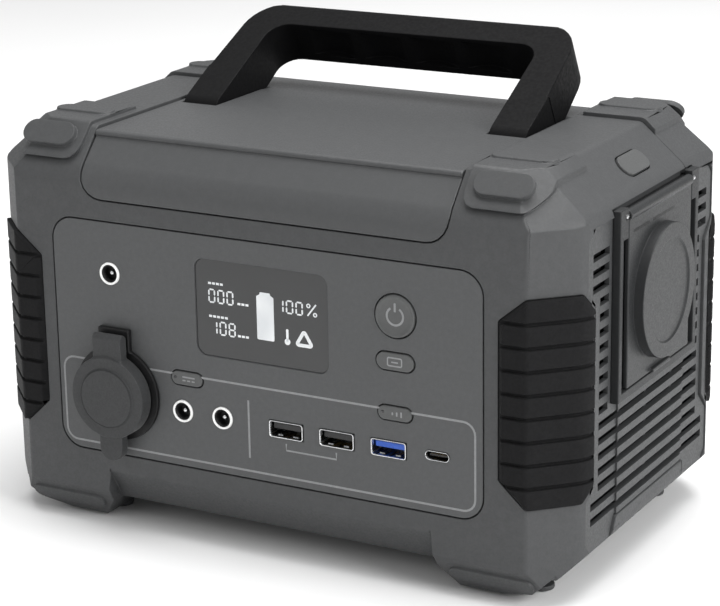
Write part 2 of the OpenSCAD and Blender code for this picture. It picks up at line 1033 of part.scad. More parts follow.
module ac_socket_insert() {
  color("#1e1f21") placed()
    difference() {
      union() {
        along_x(hx - 1.2 - well_depth - 3, hx - 0.4)
          translate([well_y, well_z])
            circle(d = well_d + 3);
        along_x(hx - 5.2, hx - 3)
          translate([well_y, well_z])
            square([52, 52], center = true);
      }
      along_x(hx - 0.4 - well_depth, hx + 1)
        translate([well_y, well_z])
          circle(d = well_d);
      for (s = [-1, 1])
        along_x(hx - well_depth - 5, hx)
          translate([well_y + s * 9.5, well_z])
            circle(d = 5);
    }
}

module ac_socket_contacts() {
  color("#c9ab6b") placed() {
    for (s = [-1, 1])
      along_x(hx - well_depth - 12, hx - well_depth - 4.2)
        translate([well_y + s * 9.5, well_z])
          difference() {
            circle(d = 7);
            circle(d = 5);
          }
    for (s = [-1, 1])
      translate([hx - 14, well_y - 2, well_z + s * (well_d / 2 - 0.8) - 0.6])
        cube([11, 4, 1.2]);
  }
}

// ---------- corner grips ----------

module corner_grip() {
  difference() {
    grip_solid(-1.2, grip_out, 0);
    for (i = [0 : 7])
      translate([0, 0, grip_z + 7.7 + 8.2 * i])
        intersection() {
          translate([60, -100, -0.7])
            cube([80, 60, 1.4]);
          difference() {
            translate([0, 0, -1])
              linear_extrude(2)
                polygon(plan(4));
            translate([0, 0, -2])
              linear_extrude(4)
                polygon(plan(0.1));
          }
        }
  }
}

module grip_front_right() {
  color("#1c1d1e") placed()
    corner_grip();
}

module grip_front_left() {
  color("#1c1d1e") placed()
    mirror([1, 0, 0])
      corner_grip();
}

module grip_rear_right() {
  color("#1c1d1e") placed()
    mirror([0, 1, 0])
      corner_grip();
}

module grip_rear_left() {
  color("#1c1d1e") placed()
    mirror([1, 0, 0])
      mirror([0, 1, 0])
        corner_grip();
}

// ---------- battery and electronics ----------

module at_cells() {
  for (i = [0 : 7], j = [0 : 3])
    translate([cell_x0 + i * cell_pitch, 0, cell_z0 + j * cell_pitch])
      children();
}

module battery_cells() {
  color("#3d7fb5") placed()
    at_cells()
      along_y(cell_y, cell_y + cell_l)
        circle(d = cell_d);
}

module cell_holders() {
  color("#202224") placed()
    for (y = [cell_y + 3, cell_y + cell_l - 9])
      difference() {
        on_front([0, cell_z0 + 1.5 * cell_pitch], y, y + 6)
          square([8 * cell_pitch + 3, 4 * cell_pitch + 2], center = true);
        at_cells()
          along_y(y - 1, y + 7)
            circle(d = cell_d / cos(15), $fn = 12);
      }
}

module cell_strips() {
  color("#c9ccd0") placed()
    for (y = [cell_y - 0.3, cell_y + cell_l], i = [0 : 3])
      translate([cell_x0 + 2 * i * cell_pitch - 5, y, cell_z0 - 5])
        cube([cell_pitch + 10, 0.3, 3 * cell_pitch + 10]);
}

module battery_tray() {
  color("#3a3c3e") placed()
    difference() {
      translate([-86, -20, floor_z + wall])
        cube([172, 76, 12]);
      translate([-80.2, -16, floor_z + wall + 2.4])
        cube([160.4, 68.5, 20]);
    }
}

module bms_board() {
  color("#1f5a3a") placed() {
    translate([-60, -26.5, 26])
      cube([118, 1.6, 50]);
    for (x = [-44, -20, 4, 28])
      translate([x, -29.5, 34])
        cube([10, 3, 14]);
  }
}

module inverter_board() {
  color("#1f5a3a") placed() {
    translate([-84, -46, 103])
      cube([172, 92, 1.6]);
    for (x = [-70, -46])
      translate([x, 20, 104.6])
        cube([16, 12, 9]);
    for (i = [0 : 5])
      translate([-30 + 11 * i, -44, 104.6])
        cube([8, 5, 6]);
  }
}

module heat_sinks() {
  color("#a9adb1") placed()
    for (y = [-30, 6]) {
      translate([-30, y, 104.6])
        cube([76, 24, 3]);
      for (i = [0 : 5])
        translate([-30, y + 4.4 * i, 107.5])
          cube([76, 1.8, 14]);
    }
}

module transformer() {
  color("#b08a3c") placed() {
    translate([-74, -32, 104.6])
      cube([34, 40, 18]);
    translate([-78, -22, 107])
      cube([42, 20, 13]);
  }
}

module capacitors() {
  color("#22304a") placed()
    for (i = [0 : 3])
      translate([62, -36 + 16 * i, 104.6])
        cylinder(d = 13, h = 19);
}

module control_board() {
  color("#1f5a3a") placed() {
    difference() {
      on_front([0, panel_z], front_y + 14.2, front_y + 15.8)
        square([164, 80], center = true);
      on_front([car_x, car_z], front_y, front_y + 30)
        circle(r = 16);
    }
    ac_button_place()
      translate([0, 0, -11.6])
        linear_extrude(1.6)
          square([28, 11], center = true);
  }
}

module fan_frame() {
  color("#18191a") placed() {
    difference() {
      translate([fan_x - 10, -30, fan_z - 30])
        cube([20, 60, 60]);
      along_x(fan_x - 11, fan_x + 11)
        translate([0, fan_z])
          circle(r = 28);
      for (y = [-25, 25], z = [-25, 25])
        along_x(fan_x - 11, fan_x + 11)
          translate([y, fan_z + z])
            circle(r = 2.1);
    }
    // motor plate on four arms
    along_x(fan_x + 6.2, fan_x + 9) {
      translate([0, fan_z])
        circle(r = 11);
      translate([0, fan_z])
        rotate(45) {
          square([58, 3], center = true);
          square([3, 58], center = true);
        }
    }
  }
}

module fan_rotor() {
  color("#232526") placed() {
    along_x(fan_x - 8, fan_x + 5.6)
      translate([0, fan_z])
        circle(r = 12.5);
    for (a = [0 : 360 / 7 : 359])
      translate([fan_x - 1.4, 0, fan_z])
        rotate([a, 0, 0])
          translate([0, 11, 0])
            rotate([0, 38, 0])
              translate([-6.5, 0, -0.8])
                cube([13, 15.6, 1.6]);
  }
}

front_housing();
rear_housing();
top_cover();
control_panel();
screen_window();
display_module();
dc_in_jack();
dc_out_jacks();
usb_shells();
usb_tongues();
usb_fast_tongue();
usb_c_shell();
usb_c_tongue();
car_socket();
car_socket_contact();
car_socket_cap();
power_button();
display_button();
dc_button();
usb_button();
ac_button();
button_switches();
right_vent_grille();
left_vent_grille();
ac_socket_plate();
ac_socket_insert();
ac_socket_contacts();
ac_socket_cover();
ac_cover_pin();
grip_front_right();
grip_front_left();
grip_rear_right();
grip_rear_left();
handle();
handle_pins();
case_screws();
battery_cells();
cell_holders();
cell_strips();
battery_tray();
bms_board();
inverter_board();
heat_sinks();
transformer();
capacitors();
control_board();
fan_frame();
fan_rotor();
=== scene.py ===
"""Portable power station: the finished looks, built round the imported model.

Metres, +Z up, the control panel faces -Y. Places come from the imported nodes' boxes; sizes
written here are real millimetres turned to metres by MM.
"""

import math

import bmesh
import bpy
from mathutils import Matrix, Vector
from mathutils.bvhtree import BVHTree


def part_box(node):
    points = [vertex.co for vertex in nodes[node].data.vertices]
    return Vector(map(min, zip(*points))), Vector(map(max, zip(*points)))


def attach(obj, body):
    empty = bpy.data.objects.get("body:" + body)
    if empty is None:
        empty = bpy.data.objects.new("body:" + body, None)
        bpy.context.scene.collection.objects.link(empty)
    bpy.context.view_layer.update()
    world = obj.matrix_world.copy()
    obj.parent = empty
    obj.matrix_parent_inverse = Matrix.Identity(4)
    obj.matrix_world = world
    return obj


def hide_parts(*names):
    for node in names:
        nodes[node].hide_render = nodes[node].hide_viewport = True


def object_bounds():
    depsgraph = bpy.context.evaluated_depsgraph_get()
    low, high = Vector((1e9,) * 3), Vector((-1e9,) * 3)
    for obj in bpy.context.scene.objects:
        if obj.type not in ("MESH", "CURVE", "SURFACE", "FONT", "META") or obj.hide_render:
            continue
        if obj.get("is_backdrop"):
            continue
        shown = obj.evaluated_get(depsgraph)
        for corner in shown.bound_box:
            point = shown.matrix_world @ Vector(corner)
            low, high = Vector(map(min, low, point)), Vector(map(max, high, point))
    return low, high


MM = 0.001
FULL_TURN = 2 * math.pi

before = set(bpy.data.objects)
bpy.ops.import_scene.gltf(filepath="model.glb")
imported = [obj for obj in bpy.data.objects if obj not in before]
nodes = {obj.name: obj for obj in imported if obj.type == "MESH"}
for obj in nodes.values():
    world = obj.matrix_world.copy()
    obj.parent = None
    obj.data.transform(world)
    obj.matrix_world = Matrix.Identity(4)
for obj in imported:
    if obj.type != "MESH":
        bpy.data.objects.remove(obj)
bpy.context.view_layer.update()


def middle(node):
    """Centre of a node's box."""
    low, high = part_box(node)
    return (low + high) / 2


panel_low, panel_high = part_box("control_panel")
PANEL_FACE = panel_low.y
CASE_SIDE_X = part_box("right_vent_grille")[1].x + 0.5 * MM


# ---------------------------------------------------------------- node materials


def srgb(code):
    """Linear colour of a hex code."""
    parts = [int(code[i : i + 2], 16) / 255 for i in (1, 3, 5)]
    linear = [p / 12.92 if p <= 0.04045 else ((p + 0.055) / 1.055) ** 2.4 for p in parts]
    return (*linear, 1.0)


def add(tree, kind, inputs=None, **settings):
    """Adds a node, sets its settings, and links or fills its inputs."""
    made = tree.nodes.new(kind)
    for key, value in settings.items():
        setattr(made, key, value)
    for key, value in (inputs or {}).items():
        socket = made.inputs[key]
        if isinstance(value, bpy.types.NodeSocket):
            tree.links.new(value, socket)
        else:
            socket.default_value = value
    return made


def new_finish(name, **fixed):
    """An empty finish: its material, node tree, shader and the piece's own coordinates."""
    material = bpy.data.materials.new(name)
    material.use_nodes = True
    tree = material.node_tree
    tree.nodes.clear()
    shader = add(tree, "ShaderNodeBsdfPrincipled", fixed)
    add(tree, "ShaderNodeOutputMaterial", {"Surface": shader.outputs["BSDF"]})
    place = add(tree, "ShaderNodeTexCoord").outputs["Object"]
    return material, tree, shader, place


def noise(tree, place, size_mm, detail=2.0, rough=0.5):
    """Soft random pattern whose blobs are about size_mm across."""
    made = add(
        tree,
        "ShaderNodeTexNoise",
        {"Vector": place, "Scale": 1 / (size_mm * MM), "Detail": detail, "Roughness": rough},
    )
    return made.outputs["Fac"]


def spread(tree, value, low, high, floor=0.35, ceiling=0.65):
    """Stretches the middle of a 0..1 pattern to low..high."""
    made = add(
        tree,
        "ShaderNodeMapRange",
        {"Value": value, "From Min": floor, "From Max": ceiling, "To Min": low, "To Max": high},
    )
    return made.outputs["Result"]


def between(tree, amount, dark, light):
    """Colour between two hex codes."""
    made = add(tree, "ShaderNodeMix", {"Factor": amount}, data_type="RGBA")
    # a mix node has sockets of every kind under the same names, so the colour pair is set by index
    made.inputs[6].default_value = srgb(dark)
    made.inputs[7].default_value = srgb(light)
    return made.outputs[2]


def raised(tree, height, depth_mm, strength=1.0, under=None):
    """Surface normal of a height pattern depth_mm deep."""
    inputs = {"Height": height, "Distance": depth_mm * MM, "Strength": strength}
    if under is not None:
        inputs["Normal"] = under
    return add(tree, "ShaderNodeBump", inputs).outputs["Normal"]


def moulded(name, dark, light, rough, grain_mm, grain_depth_mm, ior=1.5, **fixed):
    """Injection moulded plastic or rubber: spark-eroded grain over a surface that clouds slightly."""
    material, tree, shader, place = new_finish(name, IOR=ior, **fixed)
    cloud = noise(tree, place, 38, detail=3)
    grain = noise(tree, place, grain_mm, detail=2)
    speck = noise(tree, place, grain_mm * 3, detail=1)
    tone = add(tree, "ShaderNodeMath", {0: cloud, 1: speck}, operation="MULTIPLY_ADD")
    tone.inputs[1].default_value = 0.75
    tree.links.new(speck, tone.inputs[2])
    colour = between(tree, spread(tree, tone.outputs[0], 0, 1, 0.55, 1.15), dark, light)
    tree.links.new(colour, shader.inputs["Base Color"])
    gloss = spread(tree, grain, rough - 0.07, rough + 0.07)
    tree.links.new(gloss, shader.inputs["Roughness"])
    tree.links.new(raised(tree, grain, grain_depth_mm), shader.inputs["Normal"])
    return material


def plated(name, colour_dark, colour_light, rough, brush_mm=0.5):
    """Drawn and plated metal: fine draw lines along the depth of the case."""
    material, tree, shader, place = new_finish(name, Metallic=1.0)
    lines = add(tree, "ShaderNodeMapping", {"Vector": place, "Scale": (1, 0.04, 1)}).outputs["Vector"]
    streak = noise(tree, lines, brush_mm, detail=3)
    colour = between(tree, spread(tree, streak, 0, 1), colour_dark, colour_light)
    tree.links.new(colour, shader.inputs["Base Color"])
    tree.links.new(spread(tree, streak, rough * 0.75, rough * 1.3), shader.inputs["Roughness"])
    tree.links.new(raised(tree, streak, 0.01, 0.5), shader.inputs["Normal"])
    return material


# Charcoal ABS of the case: 0.1 mm spark-eroded grain, drawn at 0.8 mm so that it shows.
case_abs = moulded("charcoal_abs_case", "#3a3b3c", "#3e3f40", 0.56, 0.8, 0.03)
# The saddle cover is the same ABS from a finer, slightly brighter tool.
cover_abs = moulded("charcoal_abs_cover", "#3f4041", "#424344", 0.48, 0.7, 0.02)
# Panel insert: fine-textured ABS, a shade lighter than the case.
panel_abs = moulded("fine_abs_panel", "#464748", "#494a4b", 0.52, 0.6, 0.015)
# Handle: glass-filled nylon with a coarse leathery grain.
handle_nylon = moulded(
    "black_nylon_handle", "#0a0a0b", "#0c0c0d", 0.6, 1.3, 0.04, **{"Specular IOR Level": 0.1}
)
# Grips: matte rubber compound with a faint sheen.
grip_rubber = moulded(
    "black_rubber_grip", "#101011", "#131314", 0.72, 1.0, 0.04,
    **{"Specular IOR Level": 0.15, "Sheen Weight": 0.03, "Sheen Roughness": 0.5},
)
# Socket cap: softer, finer rubber.
cap_rubber = moulded(
    "soft_rubber_cap", "#28292a", "#2c2d2e", 0.62, 0.6, 0.02,
    **{"Sheen Weight": 0.1, "Sheen Roughness": 0.4},
)
# Vents: black ABS, low gloss.
vent_abs = moulded("black_abs_vent", "#393a3b", "#3c3d3e", 0.55, 0.8, 0.03)
# Hidden and recessed parts: plain black nylon. The same black is painted shade on the vent blades and on the lid
# channel strips.
inner_nylon_and_painted_shade = moulded(
    "black_nylon_inner_and_painted_shade", "#101011", "#131314", 0.5, 0.6, 0.02, **{"Specular IOR Level": 0.3}
)
# Keys: satin ABS.
key_abs = moulded("satin_abs_key", "#484949", "#4b4c4c", 0.36, 0.5, 0.006)
# Mains plate and lid: grey satin polycarbonate, the lid a little glossier.
plate_pc = moulded(
    "grey_polycarbonate_plate", "#252627", "#28292a", 0.48, 0.6, 0.008, **{"Specular IOR Level": 0.25}
)
lid_pc = moulded(
    "grey_polycarbonate_lid", "#28292a", "#2b2c2d", 0.46, 0.6, 0.004,
    **{"Specular IOR Level": 0.28, "Coat Weight": 0.03, "Coat Roughness": 0.3},
)
# Jack rings: white nylon bezels.
jack_nylon = moulded("white_nylon_bezel", "#f0f0ef", "#f4f4f3", 0.4, 0.4, 0.004)
tongue_black = moulded("black_lcp_tongue", "#121213", "#19191a", 0.42, 0.4, 0.01)
tongue_blue = moulded("blue_lcp_tongue", "#1f4fae", "#2a5fc6", 0.4, 0.4, 0.01)
circuit_board = moulded("green_lacquered_board", "#0d3b22", "#16512f", 0.3, 2.2, 0.03)
cell_wrap = moulded("shrink_wrapped_cell", "#1d4f86", "#275f9c", 0.32, 3.0, 0.02)
can_sleeve = moulded("sleeved_capacitor_can", "#1a2536", "#223047", 0.35, 2.0, 0.02)
winding = moulded("taped_copper_winding", "#7a4a22", "#94602f", 0.45, 0.9, 0.06)
# Printed inks: screen-printed light grey lines and lit display segments.
line_ink = moulded("light_grey_screen_ink", "#7e7f80", "#868788", 0.5, 0.5, 0.004)
nickel = plated("bright_nickel_plate", "#b9babb", "#d6d7d8", 0.2)
gold_contact = plated("gold_flashed_contact", "#b98f45", "#dcb56a", 0.25)
aluminium = plated("extruded_aluminium", "#a4a6a8", "#bfc1c3", 0.4)
black_zinc = plated("black_zinc_screw", "#26272a", "#3a3b3e", 0.38)


def lens_finish():
    """Smoked acrylic window: near black, polished, with faint orange-peel ripple and wipe haze."""
    polish = {"Coat Weight": 0.4, "Coat Roughness": 0.04}
    material, tree, shader, place = new_finish("smoked_acrylic_window", IOR=1.49, **polish)
    haze = noise(tree, place, 9, detail=4)
    tree.links.new(between(tree, spread(tree, haze, 0, 1), "#1b1c1d", "#202122"), shader.inputs["Base Color"])
    tree.links.new(spread(tree, haze, 0.1, 0.2), shader.inputs["Roughness"])
    tree.links.new(raised(tree, haze, 0.01, 0.3), shader.inputs["Normal"])
    return material


def lit_finish():
    """Backlit display segment: cool white, a little brighter in the middle of the light guide."""
    material, tree, shader, place = new_finish("lit_display_segment", Roughness=0.5)
    glow = noise(tree, place, 14, detail=1)
    colour = between(tree, spread(tree, glow, 0, 1), "#b9bcbe", "#c9cbcc")
    tree.links.new(colour, shader.inputs["Base Color"])
    tree.links.new(colour, shader.inputs["Emission Color"])
    shader.inputs["Emission Strength"].default_value = 0.4
    return material


window_acrylic = lens_finish()
display_light = lit_finish()


# ---------------------------------------------------------------- mesh building


def settle(mesh, sharp_deg=32):
    """Smooth shading that keeps real edges crisp."""
    mesh.shade_smooth()
    mesh.set_sharp_from_angle(angle=math.radians(sharp_deg))


def piece(name, bm, finish, body, stands_for=(), sharp_deg=32, flat_faces=False):
    """Turns a bmesh into a finished piece that rides on a body."""
    bmesh.ops.remove_doubles(bm, verts=bm.verts, dist=0.002 * MM)
    bmesh.ops.recalc_face_normals(bm, faces=bm.faces)
    mesh = bpy.data.meshes.new(name)
    bm.to_mesh(mesh)
    bm.free()
    mesh.materials.append(finish)
    settle(mesh, sharp_deg)
    made = bpy.data.objects.new(name, mesh)
    bpy.context.scene.collection.objects.link(made)
    if flat_faces:
        keep_flats_flat(made)
    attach(made, body)
    if stands_for:
        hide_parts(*stands_for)
    return made


def keep_flats_flat(made):
    """Lets the large faces set the shading, so that a small edge radius doesn't shade across them."""
    weighting = made.modifiers.new("flats", "WEIGHTED_NORMAL")
    weighting.keep_sharp = True
    weighting.weight = 100
    seen = bpy.context.evaluated_depsgraph_get()
    mesh = bpy.data.meshes.new_from_object(made.evaluated_get(seen))
    made.modifiers.remove(weighting)
    made.data = mesh


def soften(bm, radius_mm, steps=2, from_deg=34):
    """Breaks every real edge with a small radius."""
    limit = math.radians(from_deg)
    edges = [e for e in bm.edges if len(e.link_faces) == 2 and e.calc_face_angle(0) > limit]
    bmesh.ops.bevel(
        bm,
        geom=edges,
        offset=radius_mm * MM,
        offset_type="OFFSET",
        segments=steps,
        profile=0.5,
        affect="EDGES",
        clamp_overlap=False,
        miter_outer="SHARP",
        miter_inner="SHARP",
    )


def broken_edges(node, name, finish, body, soft_mm):
    """A CAD node's own shape with its edges broken, standing for the node."""
    bm = bmesh.new()
    bm.from_mesh(nodes[node].data)
    bmesh.ops.remove_doubles(bm, verts=bm.verts, dist=0.002 * MM)
    skin = BVHTree.FromBMesh(bm)
    bmesh.ops.dissolve_limit(bm, angle_limit=math.radians(0.6), verts=bm.verts, edges=bm.edges)
    if soft_mm:
        soften(bm, soft_mm)
        # a very acute corner can throw its mitre clear of the piece: bring it back to the surface
        for vert in bm.verts:
            near, _, _, gap = skin.find_nearest(vert.co)
            if gap > 0.5 * soft_mm * MM:
                vert.co = near
    return piece(name, bm, finish, body, (node,), flat_faces=True)


def carried(names, finish, sharp_deg=32):
    """Gives CAD nodes that keep their own mesh a finish."""
    for name in names:
        mesh = nodes[name].data
        mesh.materials.clear()
        mesh.materials.append(finish)


def rounded(points, radii, chords=6):
    """Closed outline with each corner turned into an arc of its radius."""
    out = []
    count = len(points)
    radii = radii if isinstance(radii, (list, tuple)) else [radii] * count
    for i, radius in enumerate(radii):
        before, corner, after = (Vector(points[(i + k) % count]) for k in (-1, 0, 1))
        u, v = (before - corner).normalized(), (after - corner).normalized()
        if radius == 0:
            out.append(tuple(corner))
            continue
        half = u.angle(v) / 2
        centre = corner + (u + v).normalized() * radius / math.sin(half)
        reach = radius / math.tan(half)
        start, end = corner + u * reach - centre, corner + v * reach - centre
        a0 = math.atan2(start.y, start.x)
        turn = (math.atan2(end.y, end.x) - a0 + 3 * math.pi) % FULL_TURN - math.pi
        for k in range(chords + 1):
            a = a0 + turn * k / chords
            out.append((centre.x + radius * math.cos(a), centre.y + radius * math.sin(a)))
    return out


def box_outline(w, h, r, chords=6):
    """Rounded rectangle about the origin, in millimetres."""
    return rounded([(-w / 2, -h / 2), (w / 2, -h / 2), (w / 2, h / 2), (-w / 2, h / 2)], r, chords)


def circle_outline(r, steps=48):
    return [(r * math.cos(FULL_TURN * k / steps), r * math.sin(FULL_TURN * k / steps)) for k in range(steps)]


def front_point(centre, p, depth_mm):
    """A point of the front face: p is (across, up) in mm from centre, depth_mm is into the case."""
    return Vector((centre.x + p[0] * MM, PANEL_FACE + depth_mm * MM, centre.z + p[1] * MM))


def add_prism(bm, centre, outline, front_mm, back_mm, place=front_point):
    """Closed slab of an outline, from front_mm to back_mm into the case."""
    rings = [[bm.verts.new(place(centre, p, d)) for p in outline] for d in (front_mm, back_mm)]
    bm.faces.new(rings[0])
    bm.faces.new(reversed(rings[1]))
    count = len(outline)
    for i in range(count):
        j = (i + 1) % count
        bm.faces.new((rings[0][i], rings[0][j], rings[1][j], rings[1][i]))


def add_tube(bm, centre, sections, place=front_point):
    """Closed band through matching outlines, the last joined to the first.

    Sections are (outline, depth_mm).
    """
    rings = [[bm.verts.new(place(centre, p, d)) for p in outline] for outline, d in sections]
    count = len(rings[0])
    for a, b in zip(rings, rings[1:] + rings[:1]):
        for i in range(count):
            j = (i + 1) % count
            bm.faces.new((a[i], a[j], b[j], b[i]))


def add_lathe(bm, centre, profile, steps=64, place=front_point):
    """Turned solid: profile is (radius, depth) in mm, closed on itself or ending on the axis at both ends."""
    rings = []
    for radius, depth in profile:
        if radius < 1e-6:
            rings.append([bm.verts.new(place(centre, (0, 0), depth))])
        else:
            rings.append([bm.verts.new(place(centre, p, depth)) for p in circle_outline(radius, steps)])
    closed = profile[0][0] > 1e-6
    pairs = list(zip(rings, rings[1:] + rings[:1])) if closed else list(zip(rings, rings[1:]))
    for a, b in pairs:
        for i in range(steps):
            j = (i + 1) % steps
            if len(a) == 1:
                bm.faces.new((a[0], b[j], b[i]))
            elif len(b) == 1:
                bm.faces.new((a[i], a[j], b[0]))
            else:
                bm.faces.new((a[i], a[j], b[j], b[i]))


def side_point(centre, p, depth_mm):
    """A point of the right side: p is (towards the back, up) in mm from centre, depth_mm is into the case."""
    return Vector((CASE_SIDE_X - depth_mm * MM, centre.y + p[0] * MM, centre.z + p[1] * MM))


def ribbon_outline(points, width, closed=False):
    """Outline of a line of that width along points, in mm."""
    pts = [Vector(p) for p in points]
    left, right = [], []
    count = len(pts)
    for i, p in enumerate(pts):
        before = pts[i - 1] if closed or i else p
        after = pts[(i + 1) % count] if closed or i < count - 1 else p
        way = (after - before).normalized()
        normal = Vector((-way.y, way.x)) * width / 2
        left.append(tuple(p + normal))
        right.append(tuple(p - normal))
    return left, right


def add_line(bm, centre, points, width, front_mm, back_mm, closed=False, place=front_point):
    """A printed or raised line along points, as a closed strip."""
    left, right = ribbon_outline(points, width, closed)
    corners = [
        [bm.verts.new(place(centre, p, d)) for p in row] for d in (front_mm, back_mm) for row in (left, right)
    ]
    front_left, front_right, back_left, back_right = corners
    count = len(points)
    for i in range(count if closed else count - 1):
        j = (i + 1) % count
        bm.faces.new((front_left[i], front_right[i], front_right[j], front_left[j]))
        bm.faces.new((back_left[i], back_left[j], back_right[j], back_right[i]))
        bm.faces.new((front_left[i], front_left[j], back_left[j], back_left[i]))
        bm.faces.new((front_right[i], back_right[i], back_right[j], front_right[j]))
    if not closed:
        for k in (0, count - 1):
            bm.faces.new((front_left[k], back_left[k], back_right[k], front_right[k]))


# ---------------------------------------------------------------- case, cover, handle, grips

BROKEN = [
    # node, finish, body, slot, edge radius in mm
    ("front_housing", case_abs, "case", "case_grey", 0.45),
    ("rear_housing", case_abs, "case", "case_grey", 0.45),
    ("top_cover", cover_abs, "case", "cover_grey", 0.45),
    ("control_panel", panel_abs, "case", "panel_grey", 0.35),
    ("grip_front_right", grip_rubber, "case", "grip_rubber", 0.35),
    ("grip_front_left", grip_rubber, "case", "grip_rubber", 0.35),
    ("grip_rear_right", grip_rubber, "case", "grip_rubber", 0.35),
    ("grip_rear_left", grip_rubber, "case", "grip_rubber", 0.35),
    ("handle", handle_nylon, "handle", "handle_black", 0.6),
    ("right_vent_grille", vent_abs, "case", "vent_black", 0.0),
    ("left_vent_grille", vent_abs, "case", "vent_black", 0.0),
    ("ac_socket_plate", plate_pc, "case", "plate_grey", 0.4),
    ("ac_socket_cover", lid_pc, "mains_lid", "lid_grey", 0.4),
    ("ac_socket_insert", inner_nylon_and_painted_shade, "case", "black_plastic", 0.3),
    ("car_socket", inner_nylon_and_painted_shade, "case", "black_plastic", 0.4),
    ("car_socket_cap", cap_rubber, "car_cap", "cap_rubber", 0.6),
    ("display_button", key_abs, "display_key", "button_grey", 0.5),
    ("dc_button", key_abs, "dc_key", "button_grey", 0.5),
    ("usb_button", key_abs, "usb_key", "button_grey", 0.5),
    ("ac_button", key_abs, "mains_key", "button_grey", 0.5),
    ("screen_window", window_acrylic, "case", "display_lens", 0.15),
]
for node, finish, body, slot, radius in BROKEN:
    broken_edges(node, "formed_" + node, finish, body, radius)

carried(["handle_pins", "ac_cover_pin", "cell_strips"], nickel)
carried(["display_module", "button_switches", "cell_holders", "battery_tray"], inner_nylon_and_painted_shade)
carried(["fan_frame", "fan_rotor"], inner_nylon_and_painted_shade)
carried(["usb_tongues", "usb_c_tongue"], tongue_black)
carried(["usb_fast_tongue"], tongue_blue)
carried(["car_socket_contact", "ac_socket_contacts"], gold_contact)
carried(["battery_cells"], cell_wrap)
carried(["bms_board", "inverter_board", "control_board"], circuit_board)
carried(["heat_sinks"], aluminium)
carried(["transformer"], winding)
carried(["capacitors"], can_sleeve)

# ---------------------------------------------------------------- rows of repeated items


def row_tree():
    """Sets an item out in rows: Count of them, Step apart, from each vertex of the host mesh."""
    tree = bpy.data.node_groups.new("rows_of_items", "GeometryNodeTree")
    sockets = {}
    for title, kind in (
        ("Starts", "NodeSocketGeometry"),
        ("Item", "NodeSocketObject"),
        ("Count", "NodeSocketInt"),
        ("Step", "NodeSocketVector"),
        ("Finish", "NodeSocketMaterial"),
    ):
        sockets[title] = tree.interface.new_socket(title, in_out="INPUT", socket_type=kind).identifier
    tree.interface.new_socket("Geometry", in_out="OUTPUT", socket_type="NodeSocketGeometry")
    given = add(tree, "NodeGroupInput").outputs
    spacing = {"Count": given["Count"], "Offset": given["Step"]}
    line = add(tree, "GeometryNodeMeshLine", spacing, mode="OFFSET")
    item = add(tree, "GeometryNodeObjectInfo", {"Object": given["Item"]}).outputs["Geometry"]
    row = add(tree, "GeometryNodeInstanceOnPoints", {"Points": line.outputs["Mesh"], "Instance": item})
    rows = add(
        tree,
        "GeometryNodeInstanceOnPoints",
        {"Points": given["Starts"], "Instance": row.outputs["Instances"]},
    )
    real = add(tree, "GeometryNodeRealizeInstances", {"Geometry": rows.outputs["Instances"]})
    done = add(
        tree,
        "GeometryNodeSetMaterial",
        {"Geometry": real.outputs["Geometry"], "Material": given["Finish"]},
    )
    add(tree, "NodeGroupOutput", {"Geometry": done.outputs["Geometry"]})
    return tree, sockets


ROWS, ROW_SOCKETS = row_tree()


def linked(name, mesh):
    made = bpy.data.objects.new(name, mesh)
    bpy.context.scene.collection.objects.link(made)
    return made


def set_out(name, item_bm, starts, count, step_mm, finish, body, slot, stands_for=()):
    """One piece made of an item repeated in rows. The item is built about the origin, in metres."""
    bmesh.ops.recalc_face_normals(item_bm, faces=item_bm.faces)
    item_mesh = bpy.data.meshes.new(name + "_item")
    item_bm.to_mesh(item_mesh)
    item_bm.free()
    host_mesh = bpy.data.meshes.new(name + "_starts")
    host_mesh.from_pydata([tuple(p) for p in starts], [], [])
    item, host = linked(name + "_item", item_mesh), linked(name + "_starts", host_mesh)
    rows = host.modifiers.new("rows", "NODES")
    rows.node_group = ROWS
    rows[ROW_SOCKETS["Item"]] = item
    rows[ROW_SOCKETS["Count"]] = count
    rows[ROW_SOCKETS["Step"]] = [v * MM for v in step_mm]
    rows[ROW_SOCKETS["Finish"]] = finish
    seen = bpy.context.evaluated_depsgraph_get()
    mesh = bpy.data.meshes.new_from_object(host.evaluated_get(seen))
    for spare in (host, item):
        bpy.data.objects.remove(spare)
    mesh.name = name
    settle(mesh)
    made = linked(name, mesh)
    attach(made, body)
    if stands_for:
        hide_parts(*stands_for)
    return made


def plain_front(centre, p, depth_mm):
    """front_point for an item built about the origin."""
    return Vector((p[0] * MM, depth_mm * MM, p[1] * MM))


# ---------------------------------------------------------------- sockets on the panel


def add_sector(bm, centre, r_in, r_out, start_deg, end_deg, front_mm, back_mm, steps=28):
    """Part of a flat ring, anticlockwise from start to end."""
    angles = [math.radians(start_deg + (end_deg - start_deg) * k / steps) for k in range(steps + 1)]
    outer = [(r_out * math.cos(a), r_out * math.sin(a)) for a in angles]
    inner = [(r_in * math.cos(a), r_in * math.sin(a)) for a in reversed(angles)]
    add_prism(bm, centre, outer + inner, front_mm, back_mm)


